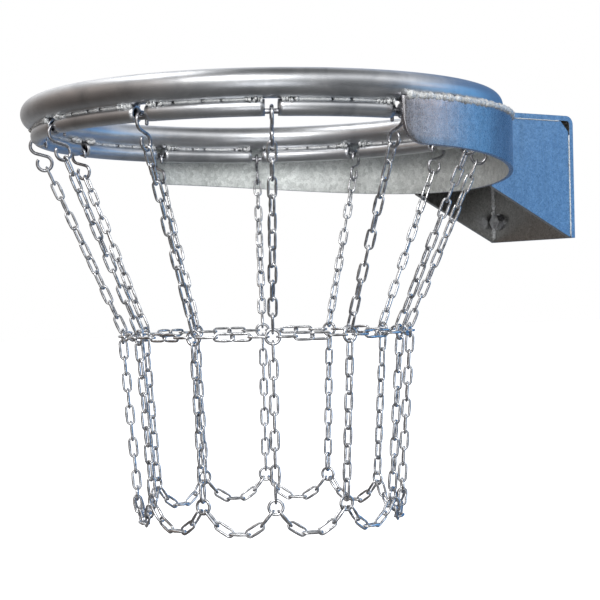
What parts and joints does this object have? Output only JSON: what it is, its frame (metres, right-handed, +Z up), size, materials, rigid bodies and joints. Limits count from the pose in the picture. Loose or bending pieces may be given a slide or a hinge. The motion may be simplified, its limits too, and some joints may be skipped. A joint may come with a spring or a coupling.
{
  "type": "basketball ring with chain net",
  "caption": "Galvanised steel basketball ring with a slotted lower ring, a chain net and a gusseted wall bracket.",
  "frame": {"origin": "centre of the four mounting bolts, on the bracket's rear face", "axes": "+Y towards the wall, +Z up, +X to the right of a player who faces the wall; the ring is on the -Y side"},
  "size_m": [0.508, 0.639, 0.4412],
  "materials": {
    "galvanised": "satin",
    "zinc_wire": "satin",
    "zinc_plated": "satin"
  },
  "bodies": {
    "frame": {"upper_ring": "galvanised", "lower_ring": "galvanised", "net_rod": "zinc_wire", "ring_welds": "galvanised", "s_hooks": "zinc_wire", "collar_band": "galvanised", "bracket_plate": "galvanised", "gusset_left": "galvanised", "gusset_right": "galvanised", "mounting_bolts": "zinc_plated", "bolt_washers": "zinc_plated"},
    "net": {"mid_rings": "zinc_wire", "mid_chain": "zinc_wire", "bottom_rings": "zinc_wire", "lower_chain_01": "zinc_wire", "lower_chain_02": "zinc_wire", "lower_chain_03": "zinc_wire", "lower_chain_04": "zinc_wire", "lower_chain_05": "zinc_wire", "lower_chain_06": "zinc_wire", "lower_chain_07": "zinc_wire", "lower_chain_08": "zinc_wire", "lower_chain_09": "zinc_wire", "lower_chain_10": "zinc_wire", "lower_chain_11": "zinc_wire", "lower_chain_12": "zinc_wire"},
    "strand_01": {"upper_chain_01": "zinc_wire"},
    "strand_02": {"upper_chain_02": "zinc_wire"},
    "strand_03": {"upper_chain_03": "zinc_wire"},
    "strand_04": {"upper_chain_04": "zinc_wire"},
    "strand_05": {"upper_chain_05": "zinc_wire"},
    "strand_06": {"upper_chain_06": "zinc_wire"},
    "strand_07": {"upper_chain_07": "zinc_wire"},
    "strand_08": {"upper_chain_08": "zinc_wire"},
    "strand_09": {"upper_chain_09": "zinc_wire"},
    "strand_10": {"upper_chain_10": "zinc_wire"},
    "strand_11": {"upper_chain_11": "zinc_wire"},
    "strand_12": {"upper_chain_12": "zinc_wire"},
    "scallop_01_chain": {"scallop_01": "zinc_wire"},
    "scallop_02_chain": {"scallop_02": "zinc_wire"},
    "scallop_03_chain": {"scallop_03": "zinc_wire"},
    "scallop_04_chain": {"scallop_04": "zinc_wire"},
    "scallop_05_chain": {"scallop_05": "zinc_wire"},
    "scallop_06_chain": {"scallop_06": "zinc_wire"},
    "scallop_07_chain": {"scallop_07": "zinc_wire"},
    "scallop_08_chain": {"scallop_08": "zinc_wire"},
    "scallop_09_chain": {"scallop_09": "zinc_wire"},
    "scallop_10_chain": {"scallop_10": "zinc_wire"},
    "scallop_11_chain": {"scallop_11": "zinc_wire"},
    "scallop_12_chain": {"scallop_12": "zinc_wire"}
  },
  "joints": [
    {"name": "net_twist", "type": "hinge", "parent": "frame", "child": "net", "pos_m": [0, -0.38, -0.16938], "axis": [0, 0, 1], "range_deg": [-5, 5]},
    {"name": "strand_01_swing", "type": "hinge", "parent": "frame", "child": "strand_01", "pos_m": [0, -0.15285, 0.00739], "axis": [0, 1, 0], "range_deg": [-4.6, 4.6]},
    {"name": "strand_02_swing", "type": "hinge", "parent": "frame", "child": "strand_02", "pos_m": [0.11358, -0.18328, 0.00739], "axis": [0.5, 0.866, 0], "range_deg": [-4.6, 4.6]},
    {"name": "strand_03_swing", "type": "hinge", "parent": "frame", "child": "strand_03", "pos_m": [0.19672, -0.26642, 0.00739], "axis": [0.866, 0.5, 0], "range_deg": [-4.6, 4.6]},
    {"name": "strand_04_swing", "type": "hinge", "parent": "frame", "child": "strand_04", "pos_m": [0.22715, -0.38, 0.00739], "axis": [1, 0, 0], "range_deg": [-4.6, 4.6]},
    {"name": "strand_05_swing", "type": "hinge", "parent": "frame", "child": "strand_05", "pos_m": [0.19672, -0.49358, 0.00739], "axis": [0.866, -0.5, 0], "range_deg": [-4.6, 4.6]},
    {"name": "strand_06_swing", "type": "hinge", "parent": "frame", "child": "strand_06", "pos_m": [0.11358, -0.57672, 0.00739], "axis": [0.5, -0.866, 0], "range_deg": [-4.6, 4.6]},
    {"name": "strand_07_swing", "type": "hinge", "parent": "frame", "child": "strand_07", "pos_m": [0, -0.60715, 0.00739], "axis": [0, -1, 0], "range_deg": [-4.6, 4.6]},
    {"name": "strand_08_swing", "type": "hinge", "parent": "frame", "child": "strand_08", "pos_m": [-0.11358, -0.57672, 0.00739], "axis": [-0.5, -0.866, 0], "range_deg": [-4.6, 4.6]},
    {"name": "strand_09_swing", "type": "hinge", "parent": "frame", "child": "strand_09", "pos_m": [-0.19672, -0.49358, 0.00739], "axis": [-0.866, -0.5, 0], "range_deg": [-4.6, 4.6]},
    {"name": "strand_10_swing", "type": "hinge", "parent": "frame", "child": "strand_10", "pos_m": [-0.22715, -0.38, 0.00739], "axis": [-1, 0, 0], "range_deg": [-4.6, 4.6]},
    {"name": "strand_11_swing", "type": "hinge", "parent": "frame", "child": "strand_11", "pos_m": [-0.19672, -0.26642, 0.00739], "axis": [-0.866, 0.5, 0], "range_deg": [-4.6, 4.6]},
    {"name": "strand_12_swing", "type": "hinge", "parent": "frame", "child": "strand_12", "pos_m": [-0.11358, -0.18328, 0.00739], "axis": [-0.5, 0.866, 0], "range_deg": [-4.6, 4.6]},
    {"name": "scallop_01_swing", "type": "hinge", "parent": "net", "child": "scallop_01_chain", "pos_m": [0.03547, -0.24761, -0.3404], "axis": [0.9659, -0.2588, 0], "range_deg": [-25, 25]},
    {"name": "scallop_02_swing", "type": "hinge", "parent": "net", "child": "scallop_02_chain", "pos_m": [0.09691, -0.28309, -0.3404], "axis": [0.7071, -0.7071, 0], "range_deg": [-25, 25]},
    {"name": "scallop_03_swing", "type": "hinge", "parent": "net", "child": "scallop_03_chain", "pos_m": [0.13239, -0.34453, -0.3404], "axis": [0.2588, -0.9659, 0], "range_deg": [-25, 25]},
    {"name": "scallop_04_swing", "type": "hinge", "parent": "net", "child": "scallop_04_chain", "pos_m": [0.13239, -0.41547, -0.3404], "axis": [-0.2588, -0.9659, 0], "range_deg": [-25, 25]},
    {"name": "scallop_05_swing", "type": "hinge", "parent": "net", "child": "scallop_05_chain", "pos_m": [0.09691, -0.47691, -0.3404], "axis": [-0.7071, -0.7071, 0], "range_deg": [-25, 25]},
    {"name": "scallop_06_swing", "type": "hinge", "parent": "net", "child": "scallop_06_chain", "pos_m": [0.03547, -0.51239, -0.3404], "axis": [-0.9659, -0.2588, 0], "range_deg": [-25, 25]},
    {"name": "scallop_07_swing", "type": "hinge", "parent": "net", "child": "scallop_07_chain", "pos_m": [-0.03547, -0.51239, -0.3404], "axis": [-0.9659, 0.2588, 0], "range_deg": [-25, 25]},
    {"name": "scallop_08_swing", "type": "hinge", "parent": "net", "child": "scallop_08_chain", "pos_m": [-0.09691, -0.47691, -0.3404], "axis": [-0.7071, 0.7071, 0], "range_deg": [-25, 25]},
    {"name": "scallop_09_swing", "type": "hinge", "parent": "net", "child": "scallop_09_chain", "pos_m": [-0.13239, -0.41547, -0.3404], "axis": [-0.2588, 0.9659, 0], "range_deg": [-25, 25]},
    {"name": "scallop_10_swing", "type": "hinge", "parent": "net", "child": "scallop_10_chain", "pos_m": [-0.13239, -0.34453, -0.3404], "axis": [0.2588, 0.9659, 0], "range_deg": [-25, 25]},
    {"name": "scallop_11_swing", "type": "hinge", "parent": "net", "child": "scallop_11_chain", "pos_m": [-0.09691, -0.28309, -0.3404], "axis": [0.7071, 0.7071, 0], "range_deg": [-25, 25]},
    {"name": "scallop_12_swing", "type": "hinge", "parent": "net", "child": "scallop_12_chain", "pos_m": [-0.03547, -0.24761, -0.3404], "axis": [0.9659, 0.2588, 0], "range_deg": [-25, 25]}
  ],
  "couplings": [
    {"joint": "strand_01_swing", "follows": "net_twist", "ratio": 0.8969},
    {"joint": "strand_02_swing", "follows": "net_twist", "ratio": 0.8969},
    {"joint": "strand_03_swing", "follows": "net_twist", "ratio": 0.8969},
    {"joint": "strand_04_swing", "follows": "net_twist", "ratio": 0.8969},
    {"joint": "strand_05_swing", "follows": "net_twist", "ratio": 0.8969},
    {"joint": "strand_06_swing", "follows": "net_twist", "ratio": 0.8969},
    {"joint": "strand_07_swing", "follows": "net_twist", "ratio": 0.8969},
    {"joint": "strand_08_swing", "follows": "net_twist", "ratio": 0.8969},
    {"joint": "strand_09_swing", "follows": "net_twist", "ratio": 0.8969},
    {"joint": "strand_10_swing", "follows": "net_twist", "ratio": 0.8969},
    {"joint": "strand_11_swing", "follows": "net_twist", "ratio": 0.8969},
    {"joint": "strand_12_swing", "follows": "net_twist", "ratio": 0.8969}
  ]
}
